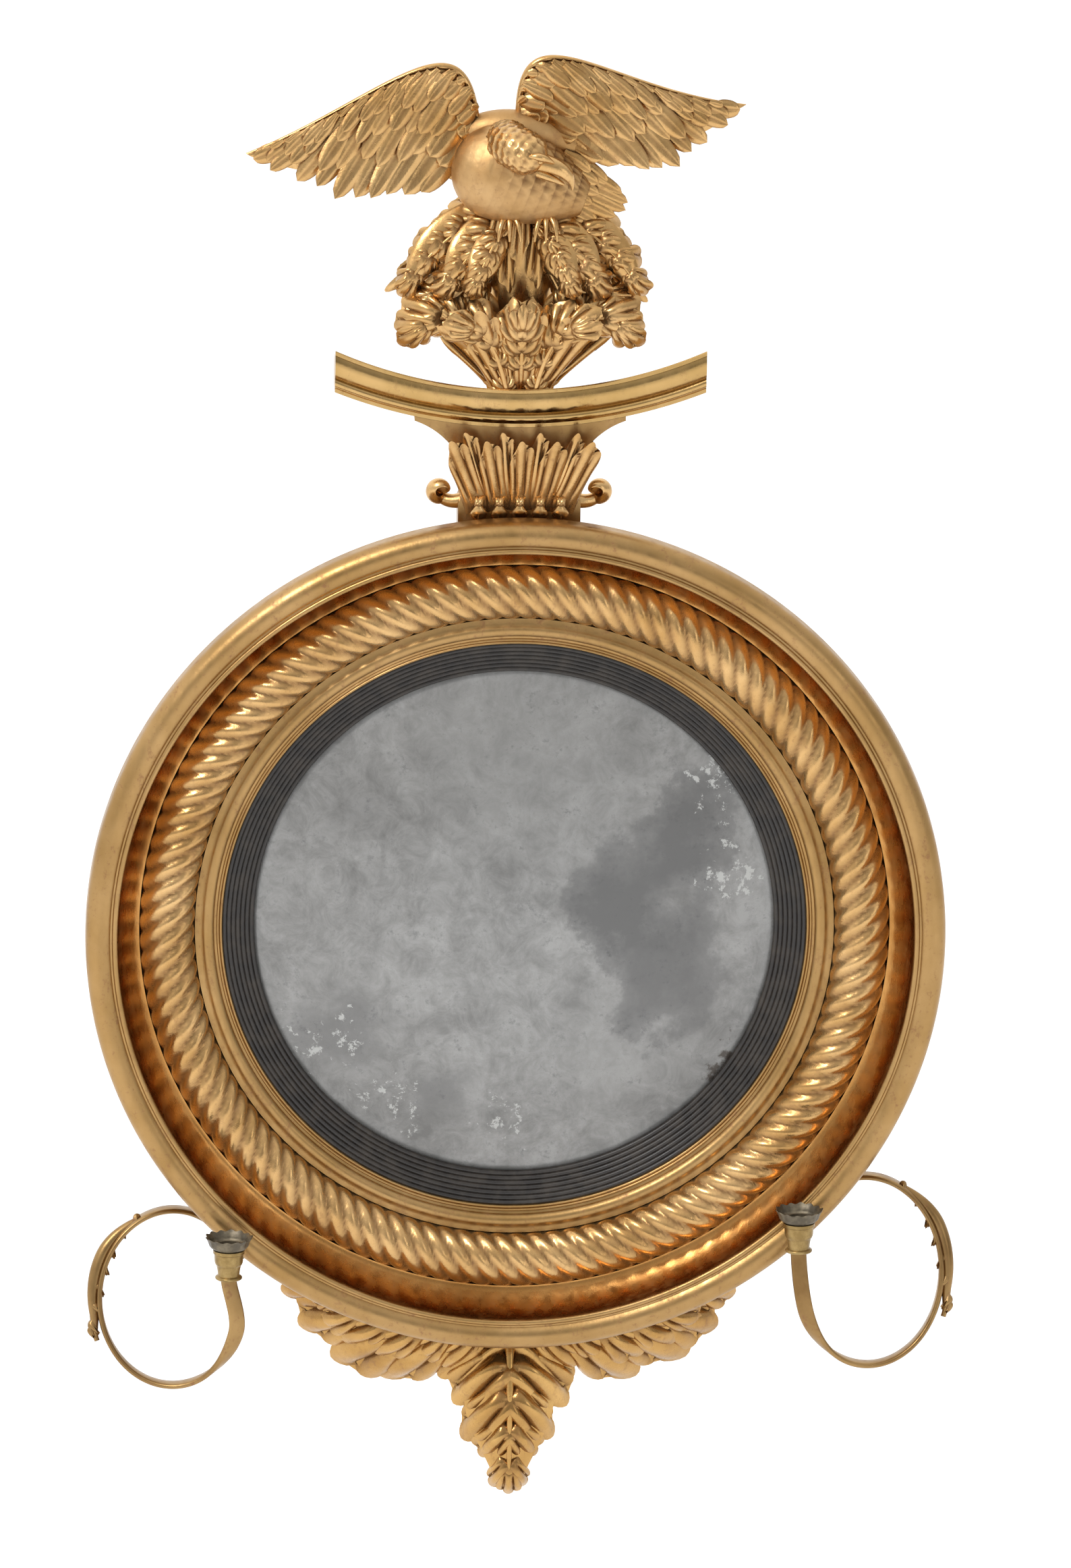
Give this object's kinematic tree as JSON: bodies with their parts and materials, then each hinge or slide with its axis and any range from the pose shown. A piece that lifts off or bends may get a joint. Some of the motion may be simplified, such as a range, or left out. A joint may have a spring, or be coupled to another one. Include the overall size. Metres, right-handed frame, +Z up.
{
  "type": "girandole mirror",
  "caption": "Round convex wall mirror in a gilt rope-carved frame with an eagle crest, a leaf apron and two swivelling scrolled candle arms.",
  "frame": {"origin": "centre of the round frame on the wall plane, at the backboard's back face", "axes": "+Z up, +X to the viewer's right, +Y into the wall, so the glass faces -Y"},
  "size_m": [0.7743, 0.1388, 1.3266],
  "materials": {
    "gilt_wood": "aged water gilding over red-brown bole and gesso on carved wood",
    "pine": "old unpainted softwood, darkened",
    "ebonised_wood": "black stained and polished",
    "mirror_glass": "old silvered convex glass with foxing",
    "iron": "blackened wrought iron",
    "steel_screws": "dull old steel",
    "gilt_iron": "gilt wrought strip, worn",
    "cup_brass": "lacquered, dulled brass",
    "pan_metal": "dark brown-grey patina"
  },
  "bodies": {
    "frame": {"carcass_ring": "pine", "cove_ring": "gilt_wood", "rim_moulding": "gilt_wood", "rope_moulding": "gilt_wood", "inner_moulding": "gilt_wood", "ebonised_slip": "ebonised_wood", "mirror_plate": "mirror_glass", "glass_blocks": "pine", "backboard": "pine", "backboard_screws": "steel_screws", "crest_strap": "iron", "ring_staple": "iron", "strap_screws": "steel_screws", "platform": "gilt_wood", "platform_bracket": "gilt_wood", "bracket_leaves": "gilt_wood", "left_scroll": "gilt_wood", "right_scroll": "gilt_wood", "foliage_core": "gilt_wood", "centre_leaf": "gilt_wood", "upper_centre_leaf": "gilt_wood", "lower_left_leaf": "gilt_wood", "lower_right_leaf": "gilt_wood", "upper_left_leaf": "gilt_wood", "upper_right_leaf": "gilt_wood", "eagle_body": "gilt_wood", "eagle_head": "gilt_wood", "left_wing": "gilt_wood", "right_wing": "gilt_wood", "eagle_tail": "gilt_wood", "eagle_feet": "gilt_wood", "apron_batten": "pine", "apron_screws": "steel_screws", "apron_centre_leaf": "gilt_wood", "apron_left_spray": "gilt_wood", "apron_right_spray": "gilt_wood", "left_arm_eye": "iron", "right_arm_eye": "iron", "left_pivot_pin": "steel_screws", "right_pivot_pin": "steel_screws"},
    "hanging_ring": {"hanging_ring": "iron"},
    "left_arm": {"left_arm_scroll": "gilt_iron", "left_arm_leaf": "gilt_iron", "left_candle_cup": "cup_brass"},
    "right_arm": {"right_arm_scroll": "gilt_iron", "right_arm_leaf": "gilt_iron", "right_candle_cup": "cup_brass"},
    "left_pan": {"left_drip_pan": "pan_metal"},
    "right_pan": {"right_drip_pan": "pan_metal"}
  },
  "joints": [
    {"name": "left_arm_swivel", "type": "hinge", "parent": "frame", "child": "left_arm", "pos_m": [-0.24016, -0.024, -0.29982], "axis": [0, 0, 1], "range_deg": [-25, 10]},
    {"name": "right_arm_swivel", "type": "hinge", "parent": "frame", "child": "right_arm", "pos_m": [0.25194, -0.024, -0.27208], "axis": [0, 0, 1], "range_deg": [-10, 20]},
    {"name": "left_pan_lift", "type": "slide", "parent": "left_arm", "child": "left_pan", "axis": [0, 0, 1], "range_m": [0, 0.03]},
    {"name": "right_pan_lift", "type": "slide", "parent": "right_arm", "child": "right_pan", "axis": [0, 0, 1], "range_m": [0, 0.03]},
    {"name": "hanging_ring_swing", "type": "hinge", "parent": "frame", "child": "hanging_ring", "pos_m": [0, -0.005, 0.432], "axis": [1, 0, 0], "range_deg": [0, 160]}
  ]
}
